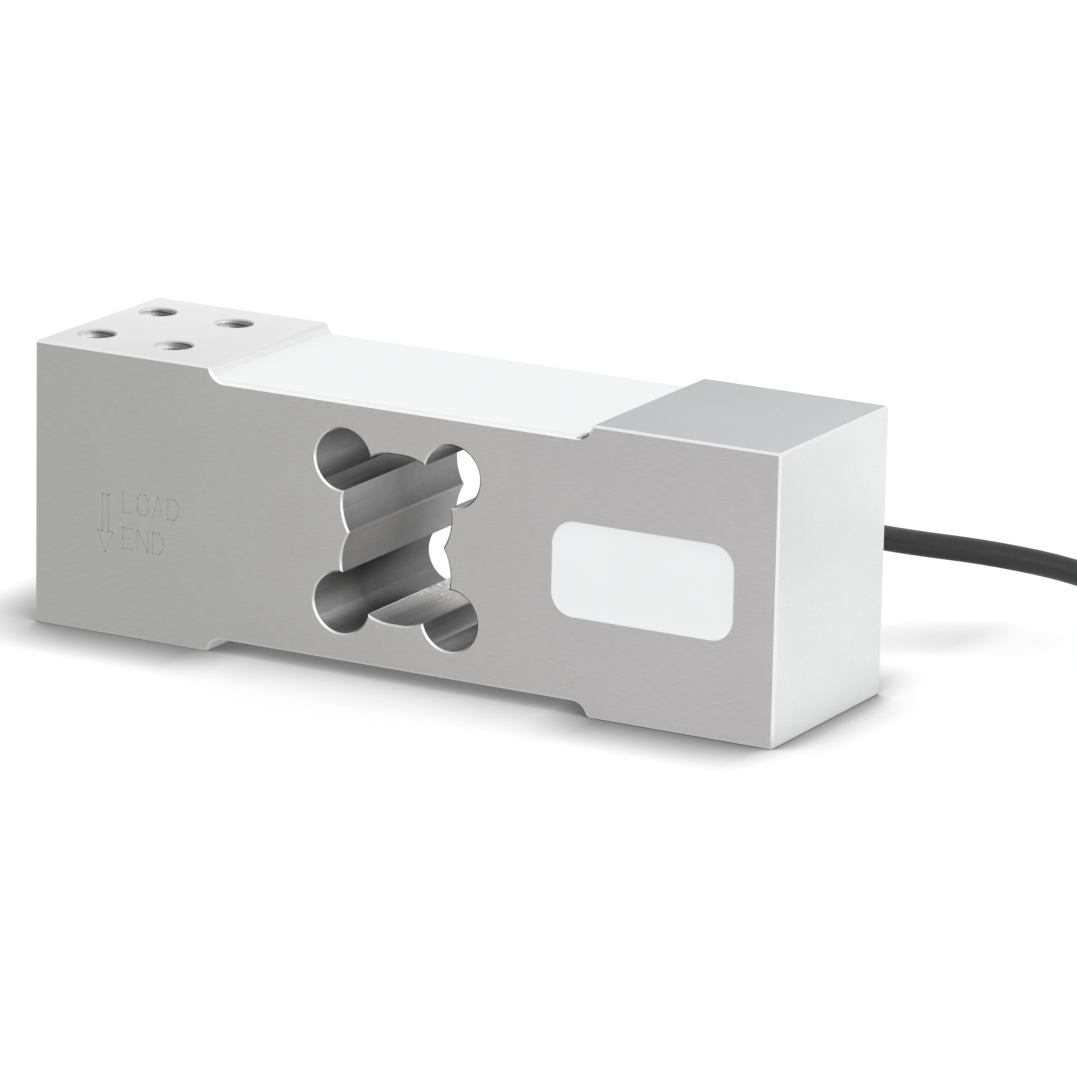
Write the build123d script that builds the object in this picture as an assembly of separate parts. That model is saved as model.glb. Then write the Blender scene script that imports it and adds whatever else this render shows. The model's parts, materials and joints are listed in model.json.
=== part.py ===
from build123d import *
import math
import os

# Single point load cell: a bored aluminium beam with silicone covers and a free cable.
# Millimetres. X runs along the beam, from the loaded end (-X) to the fixed end (+X), Z is up,
# and the origin is the centre of the underside.

# Spring body, milled from one bar
block_length = 175.0
block_width = 48.0
block_height = 61.0
edge_chamfer = 0.5
end_block_length = 42.6
recess_depth = 3.0
recess_corner_radius = 3.5

# Cutout through the body: four corner bores and two bores stacked between them
corner_bore_radius = 6.5
corner_bore_x = 12.8
corner_bore_z = 15.15
middle_bore_radius = 11.7
middle_bore_z = 6.2
middle_bore_stretch = 1.15
bore_rim_chamfer = 0.4

# Tapped holes: four in the top of the loaded end, four in the underside of the fixed end
tapped_radius = 4.0
tapped_depth = 13.0
tapped_countersink = 0.3
tap_drill_radius = 3.4
tap_drill_depth = 14.5
tapped_spacing_x = 19.0
tapped_spacing_y = 24.0
tapped_end_distance = 7.6
drill_tip_angle = 118.0

# Wiring pocket in the front face, the channels into it and the cable's bore in its floor
pocket_length = 41.4
pocket_height = 20.0
pocket_corner_radius = 5.0
pocket_depth = 16.0
pocket_end_distance = 9.7
pocket_fill_setback = 0.2
channel_radius = 1.5
channel_inset_x = 2.6
channel_inset_y = 8.0
cable_bore_clearance = 0.3
cable_exit_inset = 13.8
cable_exit_below_middle = 4.6

# Silicone covers in the recesses
cover_thickness = 1.2
cover_edge_radius = 0.6
cover_side_margin = 0.5

# Strain gauges over the corner bores
carrier_length = 9.0
carrier_width = 6.0
carrier_thickness = 0.15
carrier_corner_radius = 0.6
foil_thickness = 0.05
foil_line_count = 8
foil_line_width = 0.2
foil_line_pitch = 0.42
foil_grid_length = 4.0
foil_tab_size = 1.4
foil_tab_gap = 0.7
gauge_wire_radius = 0.15

# Solder terminals between the gauges
terminal_length = 8.0
terminal_width = 9.0
terminal_thickness = 0.4
terminal_edge_distance = 12.0
terminal_margin = 1.2
terminal_row_pitch = 1.8
terminal_column_pitch = 2.0

# Leads from the terminals to the board in the pocket
lead_count = 4
lead_radius = 0.25
lead_pitch = 0.6
lead_bend_radius = 1.0
lead_turn_length = 3.2
lead_gather_length = 6.0
lead_row_inset = 0.6
wire_seat_gap = 0.02

# Compensation board in the pocket, on its adhesive pad
board_length = 16.0
board_height = 15.0
board_thickness = 1.2
board_pad_thickness = 1.0
board_pad_margin = 1.0
board_inset = 1.4
solder_thickness = 0.1
left_solder_radius = 0.6
left_solder_pitch = 1.6
right_solder_radius = 0.9
right_solder_pitch = 3.0
solder_edge_distance = 1.3
resistor_size = (3.2, 0.6, 1.6)
resistor_count = 5
resistor_pitch = 2.7

# Cable and its seat in the body
cable_diameter = 5.4
cable_end_reach = 5.0
core_radius = 0.6
core_offset = 1.0
drain_radius = 0.35
drain_offset = 1.9
core_bend_radius = 1.2
core_level_gap = 2.2
drain_level_gap = 1.0
stop_ring_radius = 4.6
stop_ring_length = 3.0
grommet_plug_radius = 4.4
grommet_plug_length = 10.0
grommet_flange_radius = 6.5
grommet_flange_thickness = 2.0
grommet_sleeve_base_radius = 4.5
grommet_sleeve_tip_radius = 3.4
grommet_sleeve_length = 6.0

# Share of the shorter run that the tangent of a bend takes up
bend_share = 0.45

# Coil of the cable's stored length, lying beside the body on its two ties
coil_x = 195.5
coil_y = 41.9
coil_mean_radius = 31.5
coil_columns = 4
coil_full_rows = 3
coil_top_columns = 2
coil_tail_degrees = 268.0
coil_entry_reach = 12.0
coil_notch_gap = 0.1
coil_corner_match = 0.01
tie_thickness = 1.0
tie_degrees = 9.0
tie_angles = (60.0, 240.0)
tie_head_size = (4.0, 6.5, 5.0)
tie_head_edge_radius = 0.8

# Stripped end of the cable on top of the coil
tail_sleeve_length = 8.0
tail_sleeve_radius = 2.6
tail_core_first_radius = 34.8
tail_core_fan = 1.7
tail_core_reaches = (0.5, 2.5, 5.5)
tail_core_turn_degrees = 32.0
tail_core_end_degrees = 66.0
tail_core_shortening = 3.0
tail_core_bend_radius = 4.0

# Places worked out from the sizes above
middle_z = block_height / 2
floor_z = block_height - recess_depth
recess_half_length = block_length / 2 - end_block_length
pocket_right = block_length / 2 - pocket_end_distance
pocket_left = pocket_right - pocket_length
pocket_x = (pocket_left + pocket_right) / 2
pocket_floor_y = -block_width / 2 + pocket_depth
channel_x = pocket_left + channel_inset_x
channel_y = -block_width / 2 + channel_inset_y
cable_x = pocket_right - cable_exit_inset
cable_z = middle_z - cable_exit_below_middle
cable_radius = cable_diameter / 2
cable_end_y = pocket_floor_y - cable_end_reach
sleeve_end_y = block_width / 2 + grommet_flange_thickness + grommet_sleeve_length
board_left = pocket_left + board_inset
board_right = board_left + board_length
board_front_y = pocket_floor_y - board_pad_thickness - board_thickness
solder_front_y = board_front_y - solder_thickness
terminal_y = block_width / 2 - terminal_edge_distance
tapped_inner_x = block_length / 2 - tapped_end_distance - tapped_spacing_x / 2
coil_bottom = tie_thickness
coil_inner_radius = coil_mean_radius - coil_columns * cable_radius
coil_outer_radius = coil_mean_radius + coil_columns * cable_radius
coil_outer_line = coil_outer_radius - cable_radius
coil_step_z = coil_bottom + coil_full_rows * cable_diameter
coil_top_z = coil_step_z + cable_diameter
coil_first_line_z = coil_bottom + cable_radius
coil_tail_inner = coil_inner_radius + coil_top_columns * cable_diameter
coil_tail_line = coil_tail_inner + cable_radius
coil_tail_outer = coil_tail_inner + cable_diameter

# Route of the free cable, from the sleeve's end to the coil, chosen by hand
cable_route = [
    (cable_x, sleeve_end_y, cable_z),
    (64.0, 49.7, cable_z),
    (72.0, 65.2, 20.9),
    (88.0, 74.4, 18.8),
    (107.0, 79.5, 16.2),
    (126.5, 81.4, 10.4),
    (145.5, 81.5, coil_first_line_z),
    (coil_x - coil_entry_reach, coil_y + coil_outer_line, coil_first_line_z),
]


def prism_along_y(sketch, y_from, y_to):
    """The sketch, drawn in X and Z, as a prism from y_from to y_to."""
    return extrude(Plane.XZ.offset(-y_to) * sketch, y_to - y_from)


def mirrored_below(shape):
    """The same shape under the body, mirrored about its middle height."""
    return mirror(shape, about=Plane.XY.offset(middle_z))


def wire(points, radius, bend_radii):
    """A round wire through the points, with its corners bent to the given radii."""
    path = FilletPolyline(*points, radius=bend_radii)
    start = Plane(origin=path @ 0, z_dir=path % 0)
    return sweep(start * Circle(radius), path=path)


def recess_cutter(reach):
    """What the milling cutter takes out of the top: a shallow channel with round corners."""
    height = recess_depth + reach
    outline = Pos(0, floor_z + height / 2) * Rectangle(2 * recess_half_length, height)
    bottom_corners = outline.vertices().group_by(Axis.Y)[0]
    outline = fillet(bottom_corners, recess_corner_radius)
    return prism_along_y(outline, -block_width / 2, block_width / 2)


def corner_bore(growth):
    """The outline of a corner bore, grown by the given amount."""
    return Circle(corner_bore_radius + growth)


def middle_bore(growth):
    """The outline of one of the two large bores, a little longer along X than it is high."""
    return SlotCenterToCenter(2 * middle_bore_stretch, 2 * (middle_bore_radius + growth))


def cutout_bores():
    """The six bores that make the cutout, each as its outline function and its place."""
    bores = []
    for side in (-1, 1):
        bores.append((middle_bore, Pos(0, middle_z + side * middle_bore_z)))
        for end in (-1, 1):
            bores.append((corner_bore, Pos(end * corner_bore_x, middle_z + side * corner_bore_z)))
    return bores


def cutout():
    outline = Sketch()
    for bore, place in cutout_bores():
        outline += place * bore(0)
    return prism_along_y(outline, -block_width / 2, block_width / 2)


def cutout_rims():
    """The chamfers round the bores at both faces, each a taper between two sizes of the bore."""
    front = Plane.XZ.offset(block_width / 2)
    rims = []
    for bore, place in cutout_bores():
        outer = front * (place * bore(bore_rim_chamfer))
        inner = front.offset(-bore_rim_chamfer) * (place * bore(0))
        rim = loft([outer.face(), inner.face()], ruled=True)
        rims += [rim, mirror(rim, about=Plane.XZ)]
    return rims


def tapped_hole():
    """A blind tapped hole with its mouth at the origin, going down: countersink, thread, drill."""
    tip = tap_drill_radius / math.tan(math.radians(drill_tip_angle / 2))
    outline = Polyline(
        (0, 0),
        (tapped_radius + tapped_countersink, 0),
        (tapped_radius, -tapped_countersink),
        (tapped_radius, -tapped_depth),
        (tap_drill_radius, -tapped_depth),
        (tap_drill_radius, -tap_drill_depth),
        (0, -tap_drill_depth - tip),
        close=True,
    )
    return revolve(Plane.XZ * make_face(outline), axis=Axis.Z)


def tapped_holes():
    """Both hole patterns: on top of the loaded end and under the fixed end."""
    holes = []
    for step_x in (-0.5, 0.5):
        for step_y in (-0.5, 0.5):
            x = step_x * tapped_spacing_x
            y = step_y * tapped_spacing_y
            holes.append(Pos(x - tapped_inner_x, y, block_height) * tapped_hole())
            holes.append(Pos(x + tapped_inner_x, y, 0) * Rot(180, 0, 0) * tapped_hole())
    return holes


def spring_body():
    body = Pos(0, 0, middle_z) * Box(block_length, block_width, block_height)
    recess = recess_cutter(recess_corner_radius)
    body -= recess
    body -= mirrored_below(recess)
    faces = body.faces().sort_by(Axis.Y)
    rim_edges = faces[0].edges() + faces[-1].edges()
    long_edges = body.edges().filter_by(Axis.Y).group_by(Axis.Z)
    body = chamfer(rim_edges + long_edges[0] + long_edges[-1], edge_chamfer)
    body -= cutout()
    for rim in cutout_rims():
        body -= rim
    pocket = Pos(pocket_x, middle_z) * RectangleRounded(pocket_length, pocket_height, pocket_corner_radius)
    body -= prism_along_y(pocket, -block_width / 2, pocket_floor_y)
    channel = Pos(channel_x, channel_y, middle_z) * Cylinder(channel_radius, block_height)
    body -= channel
    cable_hole = Pos(cable_x, cable_z) * Circle(cable_radius + cable_bore_clearance)
    body -= prism_along_y(cable_hole, pocket_floor_y, block_width / 2)
    grommet_seat = Pos(cable_x, cable_z) * Circle(grommet_plug_radius)
    body -= prism_along_y(grommet_seat, block_width / 2 - grommet_plug_length, block_width / 2)
    for hole in tapped_holes():
        body -= hole
    return body


def gauge_carrier(side):
    """The polyimide carrier over one corner bore, on the recess floor."""
    outline = RectangleRounded(carrier_length, carrier_width, carrier_corner_radius)
    return extrude(Pos(side * corner_bore_x, 0, floor_z) * outline, carrier_thickness)


def gauge_foil(side):
    """The etched grid: lines along X joined at alternate ends, with two solder tabs."""
    grid = Sketch()
    half = foil_grid_length / 2
    top_line = (foil_line_count - 1) / 2
    for line in range(foil_line_count):
        y = (line - top_line) * foil_line_pitch
        grid += Pos(0, y) * Rectangle(foil_grid_length, foil_line_width)
        if line < foil_line_count - 1:
            end_x = half if line % 2 == 0 else -half
            link_y = y + foil_line_pitch / 2
            grid += Pos(end_x, link_y) * Rectangle(foil_line_width, foil_line_pitch + foil_line_width)
    for edge in (-1, 1):
        y = edge * top_line * foil_line_pitch
        grid += Pos(-half - foil_tab_gap / 2, y) * Rectangle(foil_tab_gap, foil_line_width)
        tab_y = edge * (top_line * foil_line_pitch + foil_line_width / 2 - foil_tab_size / 2)
        grid += Pos(-half - foil_tab_gap - foil_tab_size / 2, tab_y) * Rectangle(foil_tab_size, foil_tab_size)
    foil = extrude(Pos(0, 0, floor_z + carrier_thickness) * grid, foil_thickness)
    turned = foil if side > 0 else mirror(foil, about=Plane.YZ)
    shift = half + foil_tab_gap / 2
    return Pos(side * (corner_bore_x + shift - foil_grid_length / 2), 0, 0) * turned


def tab_centre(side, edge):
    """The centre of one of a foil's two tabs, in X and Y."""
    half = foil_grid_length / 2
    shift = half + foil_tab_gap / 2 - foil_grid_length / 2
    x = corner_bore_x + shift - half - foil_tab_gap - foil_tab_size / 2
    y = edge * ((foil_line_count - 1) / 2 * foil_line_pitch + foil_line_width / 2 - foil_tab_size / 2)
    return side * x, y


def terminal_strip():
    outline = RectangleRounded(terminal_length, terminal_width, carrier_corner_radius)
    return extrude(Pos(0, -terminal_y, floor_z) * outline, terminal_thickness)


def gauge_wires():
    """Two wires from each gauge's tabs to the near edge of the terminals."""
    wires = []
    terminal_edge = -terminal_y + terminal_width / 2 - terminal_margin
    tab_z = floor_z + carrier_thickness + foil_thickness + gauge_wire_radius + wire_seat_gap
    end_z = floor_z + terminal_thickness + gauge_wire_radius + wire_seat_gap
    for side in (-1, 1):
        for edge in (-1, 1):
            tab_x, tab_y = tab_centre(side, edge)
            end_x = side * (1 - edge / 2) * terminal_column_pitch
            line = Line((tab_x, tab_y, tab_z), (end_x, terminal_edge, end_z))
            start = Plane(origin=line @ 0, z_dir=line % 0)
            wires.append(sweep(start * Circle(gauge_wire_radius), path=line))
    return Compound(wires)


def bridge_leads():
    """Four leads from the terminals, along the recess, down the channel and to the board."""
    leads = []
    lead_z = floor_z + terminal_thickness + lead_radius + wire_seat_gap
    pad_x = terminal_length / 2 - terminal_margin
    turn_x = pad_x + lead_turn_length
    for index in range(lead_count):
        offset = index - (lead_count - 1) / 2
        pad_y = -terminal_y + offset * terminal_row_pitch - lead_row_inset
        lane_y = channel_y + offset * lead_pitch
        pad_z = lead_land_z(lead_count + index)
        points = [
            (pad_x, pad_y, lead_z),
            (turn_x, pad_y, lead_z),
            (turn_x + lead_gather_length, lane_y, lead_z),
            (channel_x, lane_y, lead_z),
            (channel_x, lane_y, pad_z),
            (channel_x, solder_front_y, pad_z),
        ]
        leads.append(wire(points, lead_radius, lead_bend_radius))
    return Compound(leads)


def lead_land_z(index):
    return middle_z + (index - lead_count + 0.5) * left_solder_pitch


def bridge_board():
    """The board with its solder lands: a column of eight and a column of five."""
    outline = Pos((board_left + board_right) / 2, middle_z) * Rectangle(board_length, board_height)
    board = prism_along_y(outline, board_front_y, board_front_y + board_thickness)
    for index in range(2 * lead_count):
        land = Pos(channel_x, lead_land_z(index)) * Circle(left_solder_radius)
        board += prism_along_y(land, solder_front_y, board_front_y)
    for index in range(len(core_plans())):
        land = Pos(board_right - solder_edge_distance, core_land_z(index)) * Circle(right_solder_radius)
        board += prism_along_y(land, solder_front_y, board_front_y)
    return board


def board_pad():
    outline = Pos((board_left + board_right) / 2, middle_z) * Rectangle(
        board_length - 2 * board_pad_margin, board_height - 2 * board_pad_margin
    )
    return prism_along_y(outline, pocket_floor_y - board_pad_thickness, pocket_floor_y)


def trim_resistors():
    """A column of like resistors in the middle of the board."""
    length, height, width = resistor_size
    resistors = []
    for index in range(resistor_count):
        z = middle_z + (index - (resistor_count - 1) / 2) * resistor_pitch
        x = (board_left + board_right) / 2
        body = Box(length, height, width)
        resistors.append(Pos(x, board_front_y - height / 2, z) * body)
    return Compound(resistors)


def core_plans():
    """Each inner wire: name, radius, offset from the cable's axis, level in front, board land."""
    near_y = cable_end_y - core_level_gap
    far_y = cable_end_y - 2 * core_level_gap
    drain_y = cable_end_y - drain_level_gap
    return [
        ("inner_core_black", core_radius, (-core_offset, -core_offset), near_y),
        ("inner_core_white", core_radius, (core_offset, -core_offset), far_y),
        ("inner_drain_wire", drain_radius, (-drain_offset, 0.0), drain_y),
        ("inner_core_green", core_radius, (core_offset, core_offset), far_y),
        ("inner_core_red", core_radius, (-core_offset, core_offset), near_y),
    ]


def core_land_z(index):
    return middle_z + (index - (len(core_plans()) - 1) / 2) * right_solder_pitch


def inner_core(index):
    """One core from the cable's inner end, along the pocket, to its land on the board."""
    name, radius, offset, level_y = core_plans()[index]
    start_x = cable_x + offset[0]
    start_z = cable_z + offset[1]
    land_x = board_right - solder_edge_distance
    land_z = core_land_z(index)
    bend = min(core_bend_radius, bend_share * (cable_end_y - level_y))
    points = [
        (start_x, cable_end_y, start_z),
        (start_x, level_y, start_z),
        (land_x, level_y, land_z),
        (land_x, solder_front_y, land_z),
    ]
    return name, wire(points, radius, bend)


def cable_inner_end():
    outline = Pos(cable_x, cable_z) * Circle(cable_radius)
    return prism_along_y(outline, cable_end_y, sleeve_end_y)


def cable_stop_ring():
    outline = Pos(cable_x, cable_z) * (Circle(stop_ring_radius) - Circle(cable_radius))
    return prism_along_y(outline, pocket_floor_y - stop_ring_length, pocket_floor_y)


def cable_grommet():
    """A bush in the back of the bore, with a flange and a short sleeve that narrows outwards."""
    face_y = block_width / 2
    flange_y = face_y + grommet_flange_thickness
    outline = Polyline(
        (cable_radius, face_y - grommet_plug_length),
        (grommet_plug_radius, face_y - grommet_plug_length),
        (grommet_plug_radius, face_y),
        (grommet_flange_radius, face_y),
        (grommet_flange_radius, flange_y),
        (grommet_sleeve_base_radius, flange_y),
        (grommet_sleeve_tip_radius, sleeve_end_y),
        (cable_radius, sleeve_end_y),
        close=True,
    )
    bush = revolve(make_face(outline), axis=Axis.Y)
    return Pos(cable_x, 0, cable_z) * bush


def gauge_cover(inner_pieces):
    """The silicone poured into the recess, with the gauges and wires inside it."""
    width = block_width - 2 * cover_side_margin
    slab = Pos(0, 0, floor_z + cover_thickness / 2) * Box(2 * recess_half_length, width, cover_thickness)
    cover = slab & recess_cutter(recess_corner_radius)
    top_edges = cover.edges().filter_by(Axis.X).group_by(Axis.Z)[-1]
    cover = fillet(top_edges, cover_edge_radius)
    for piece in inner_pieces:
        cover -= piece
    return cover


def side_pocket_fill(inner_pieces):
    outline = Pos(pocket_x, middle_z) * RectangleRounded(pocket_length, pocket_height, pocket_corner_radius)
    fill = prism_along_y(outline, -block_width / 2 + pocket_fill_setback, pocket_floor_y)
    for piece in inner_pieces:
        fill -= piece
    return fill


def free_cable():
    """The free stretch: straight runs joined by the largest arcs that the runs allow."""
    points = [Vector(*point) for point in cable_route]
    runs = [after - before for before, after in zip(points, points[1:])]
    radii = []
    for before, after in zip(runs, runs[1:]):
        half_turn = math.radians(before.get_angle(after)) / 2
        radii.append(bend_share * min(before.length, after.length) / math.tan(half_turn))
    print("cable bend radii", [round(radius, 1) for radius in radii])
    path = FilletPolyline(*points, radius=radii)
    start = Plane(origin=path @ 0, z_dir=path % 0)
    tube = sweep(start * Circle(cable_radius), path=path)
    section = math.pi * cable_radius**2
    ratio = tube.volume / section / path.length
    print("cable length", round(path.length, 1), "volume ratio", round(ratio, 5))
    return tube


def coil_place(shape):
    return Pos(coil_x, coil_y, 0) * shape


def cable_coil():
    """The outer shape of the coil: full rows, a narrower top row and its unfinished last turn."""
    full = Pos(coil_mean_radius, (coil_bottom + coil_step_z) / 2) * Rectangle(
        coil_outer_radius - coil_inner_radius, coil_step_z - coil_bottom
    )
    top = Pos((coil_inner_radius + coil_tail_inner) / 2, (coil_step_z + coil_top_z) / 2) * Rectangle(
        coil_tail_inner - coil_inner_radius, coil_top_z - coil_step_z
    )
    section = full + top
    corners = section.vertices().filter_by(
        lambda v: abs(v.Y - coil_step_z) > coil_corner_match or v.X > coil_tail_outer
    )
    section = fillet(corners, cable_radius)
    ring = revolve(Plane.XZ * section, axis=Axis.Z)
    last = Pos(coil_tail_line, (coil_step_z + coil_top_z) / 2) * Rectangle(cable_diameter, cable_diameter)
    last = fillet(last.vertices().sort_by(lambda v: v.X + v.Y)[-1:], cable_radius)
    last_turn = revolve(Plane.XZ * last, axis=Axis.Z, revolution_arc=coil_tail_degrees)
    ring += Rot(0, 0, 90 - coil_tail_degrees) * last_turn
    notch_depth = cable_diameter + coil_notch_gap
    notch = Pos(
        -coil_entry_reach - coil_outer_radius / 2,
        coil_outer_line - cable_radius - coil_notch_gap + coil_outer_radius / 2,
        coil_bottom + notch_depth / 2,
    ) * Box(coil_outer_radius, coil_outer_radius, notch_depth)
    return coil_place(ring - notch)


def tie_outline(radius):
    """The strap's line round the coil's section, as the hull of circles at its corners."""
    inner = coil_inner_radius + cable_radius
    corners = [
        (inner, coil_first_line_z),
        (coil_outer_line, coil_first_line_z),
        (coil_outer_line, coil_step_z - cable_radius),
        (coil_tail_line, coil_top_z - cable_radius),
        (inner, coil_top_z - cable_radius),
    ]
    edges = []
    for corner in corners:
        edges += (Pos(*corner) * Circle(radius)).edges()
    return make_hull(edges)


def coil_ties():
    """Two straps round the coil, each with its lock on the outside."""
    section = tie_outline(cable_radius + tie_thickness) - tie_outline(cable_radius)
    strap = revolve(Plane.XZ * section, axis=Axis.Z, revolution_arc=tie_degrees)
    depth, width, height = tie_head_size
    seat_radius = coil_outer_radius + tie_thickness / 2
    head = Pos(seat_radius + depth / 2, 0, coil_step_z / 2) * Box(depth, width, height)
    head = fillet(head.edges().filter_by(Axis.Z), tie_head_edge_radius)
    head -= Cylinder(seat_radius, 2 * coil_top_z)
    tie = Rot(0, 0, -tie_degrees / 2) * strap + head
    return Compound([coil_place(Rot(0, 0, angle) * tie) for angle in tie_angles])


def tail_point(degrees_on, radius, z):
    """A point over the coil, the given angle clockwise past the end of the last turn."""
    angle = math.radians(90 - coil_tail_degrees - degrees_on)
    return coil_x + radius * math.cos(angle), coil_y + radius * math.sin(angle), z


def tail_heading():
    angle = math.radians(90 - coil_tail_degrees)
    return Vector(math.sin(angle), -math.cos(angle), 0)


def tail_start(radial, rise, forward):
    """A point on the face of the cable's far end, moved forward along the cable."""
    x, y, z = tail_point(0, coil_tail_line + radial, coil_top_z - cable_radius + rise)
    return Vector(x, y, z) + tail_heading() * forward


def tail_cores():
    """The stripped cores past the far end, fanned out on top of the coil's full rows."""
    low_reach, middle_reach, high_reach = tail_core_reaches
    plans = [
        ("tail_core_red", core_radius, (-core_offset, -core_offset), low_reach),
        ("tail_core_black", core_radius, (-core_offset, core_offset), high_reach),
        ("tail_drain_wire", drain_radius, (0.0, 0.0), middle_reach),
        ("tail_core_white", core_radius, (core_offset, core_offset), high_reach),
        ("tail_core_green", core_radius, (core_offset, -core_offset), low_reach),
    ]
    cores = {}
    for index, (name, radius, offset, reach) in enumerate(plans):
        lie_z = coil_step_z + radius + wire_seat_gap
        fan_radius = tail_core_first_radius + index * tail_core_fan
        end_degrees = tail_core_end_degrees - tail_core_shortening * index
        first = tail_start(offset[0], offset[1], 0)
        second = tail_start(offset[0], offset[1], tail_sleeve_length + reach)
        third = Vector(*tail_point(tail_core_turn_degrees, fan_radius, lie_z))
        fourth = Vector(*tail_point(end_degrees, fan_radius, lie_z))
        cores[name] = wire([first, second, third, fourth], radius, tail_core_bend_radius)
    return cores


def tail_sleeve(cores):
    start = Plane(origin=tail_start(0, 0, 0), z_dir=tail_heading())
    sleeve = extrude(start * Circle(tail_sleeve_radius), tail_sleeve_length)
    for core in cores.values():
        sleeve -= core
    return sleeve


def write(node, shape):
    export_step(shape, f"parts/{node}.step")


def main():
    os.makedirs("parts", exist_ok=True)
    write("spring_body", spring_body())

    leads = bridge_leads()
    top_pieces = {
        "terminal_strip_top": terminal_strip(),
        "gauge_wires_top": gauge_wires(),
        "bridge_leads_top": leads,
    }
    for side, side_name in ((-1, "left"), (1, "right")):
        top_pieces[f"gauge_carrier_top_{side_name}"] = gauge_carrier(side)
        top_pieces[f"gauge_foil_top_{side_name}"] = gauge_foil(side)
    top_pieces["top_gauge_cover"] = gauge_cover(list(top_pieces.values()))
    for name, piece in top_pieces.items():
        write(name, piece)
        write(name.replace("top", "bottom"), mirrored_below(piece))

    pocket_pieces = {
        "board_pad": board_pad(),
        "bridge_board": bridge_board(),
        "trim_resistors": trim_resistors(),
        "cable_stop_ring": cable_stop_ring(),
        "cable_inner_end": cable_inner_end(),
    }
    for index in range(len(core_plans())):
        name, core = inner_core(index)
        pocket_pieces[name] = core
    for name, piece in pocket_pieces.items():
        write(name, piece)
    inner_pieces = [*pocket_pieces.values(), leads, mirrored_below(leads)]
    write("side_pocket_fill", side_pocket_fill(inner_pieces))

    write("cable_grommet", cable_grommet())
    write("cable", free_cable())
    write("cable_coil", cable_coil())
    write("coil_ties", coil_ties())
    cores = tail_cores()
    for name, core in cores.items():
        write(name, core)
    write("tail_sleeve", tail_sleeve(cores))


main()
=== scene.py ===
import json
import math

import bpy
from mathutils import Matrix, Vector, noise

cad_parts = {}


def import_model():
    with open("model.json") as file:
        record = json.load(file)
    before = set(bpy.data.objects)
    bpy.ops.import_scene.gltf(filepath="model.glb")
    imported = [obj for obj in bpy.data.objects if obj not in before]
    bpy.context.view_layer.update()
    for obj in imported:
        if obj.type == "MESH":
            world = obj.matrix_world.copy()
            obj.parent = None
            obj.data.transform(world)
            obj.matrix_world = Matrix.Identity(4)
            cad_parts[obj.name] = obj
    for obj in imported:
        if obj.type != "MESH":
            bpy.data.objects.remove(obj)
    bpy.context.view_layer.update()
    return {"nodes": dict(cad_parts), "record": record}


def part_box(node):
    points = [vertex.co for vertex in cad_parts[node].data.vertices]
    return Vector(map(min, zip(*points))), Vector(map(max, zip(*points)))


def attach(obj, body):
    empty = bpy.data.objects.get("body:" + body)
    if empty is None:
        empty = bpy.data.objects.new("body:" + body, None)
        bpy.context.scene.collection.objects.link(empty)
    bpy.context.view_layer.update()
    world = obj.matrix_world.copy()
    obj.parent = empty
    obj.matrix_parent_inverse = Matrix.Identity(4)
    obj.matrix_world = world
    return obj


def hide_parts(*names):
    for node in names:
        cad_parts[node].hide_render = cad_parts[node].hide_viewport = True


# Single point load cell: finishes, soft covers, cable, thread ridges and marking. Metres.

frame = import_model()
nodes = frame["nodes"]

MM = 0.001
body_high = Vector(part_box("spring_body")[1])
half_width = body_high.y
height = body_high.z
middle_z = height / 2

# Cable
cable_diameter = 5.4 * MM
cable_radius = cable_diameter / 2
cable_exit = (0.0640, 0.0320, 0.0259)
cable_route = [
    cable_exit,
    (0.0640, 0.0497, 0.0259),
    (0.0720, 0.0652, 0.0209),
    (0.0880, 0.0744, 0.0188),
    (0.1070, 0.0795, 0.0162),
    (0.1265, 0.0814, 0.0104),
    (0.1455, 0.0815, 0.0037),
    (0.1835, 0.0815, 0.0037),
]

# Coil: columns count from the inside, rows from the floor
coil_centre = Vector((0.1955, 0.0419, 0.0))
coil_inner_line = 23.4 * MM
coil_first_height = 3.7 * MM
coil_columns = 4
coil_rows = 4
coil_top_columns = 3
coil_move_degrees = 60.0
coil_last_degrees = 268.0
coil_points_per_turn = 24

# Silicone covers, measured from the recess floor
recess_floor = height - 3.0 * MM
recess_fillet = 3.5 * MM
recess_flat = 41.4 * MM
cover_half_width = 23.5 * MM
lower_cover_half_width = 21.0 * MM
cover_height = 1.22 * MM
cover_lip_width = 3.4 * MM
cover_lip_drop = 0.75 * MM
cover_wave = 0.03 * MM
cover_notch_width = 1.1 * MM
cover_notch_depth = 1.7 * MM

# Pocket fill
fill_corner_radius = 5.0 * MM
fill_rim_depth = 0.12 * MM
fill_meniscus_depth = 0.3 * MM
fill_meniscus_width = 3.0 * MM
fill_lean = 0.9
fill_wave = 0.03 * MM

# Threads: M8 in the tapped holes
thread_pitch = 1.25 * MM
thread_start = 0.34 * MM
thread_mouth = 4.3 * MM
thread_end = 12.6 * MM
thread_root = 4.0 * MM
thread_crest = 3.4 * MM
thread_bite = 0.03 * MM
thread_foot = 0.5 * MM
thread_land = 0.09 * MM
thread_steps = 32
thread_begin = [200.0, 150.0, 240.0, 110.0]

# Zones of the body's metal: distances from the middle along X, Y and Z, in pairs from near to far
cutout_half_length = 21 * MM
cutout_half_height = 23 * MM
corner_bores_from = 10.5 * MM
bore_floor_half_length = 9.2 * MM
holes_reach = (56 * MM, 86 * MM)
holes_half_width = 22.5 * MM
step_reach = (41 * MM, 46 * MM)
recess_half_length = 45 * MM

# Heights between which the step's painted light turns a little darker on its rounded upper edge
step_brow = (60.3 * MM, 60.5 * MM)

# Edges where two bores meet, along X and above the middle, and how wide the painted highlight along each is
low_cut_edge = (6.47 * MM, -16.62 * MM)
side_cut_edge = (11.07 * MM, 0.0)
cut_highlight_core = 0.20 * MM
cut_highlight_reach = 0.42 * MM
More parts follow.
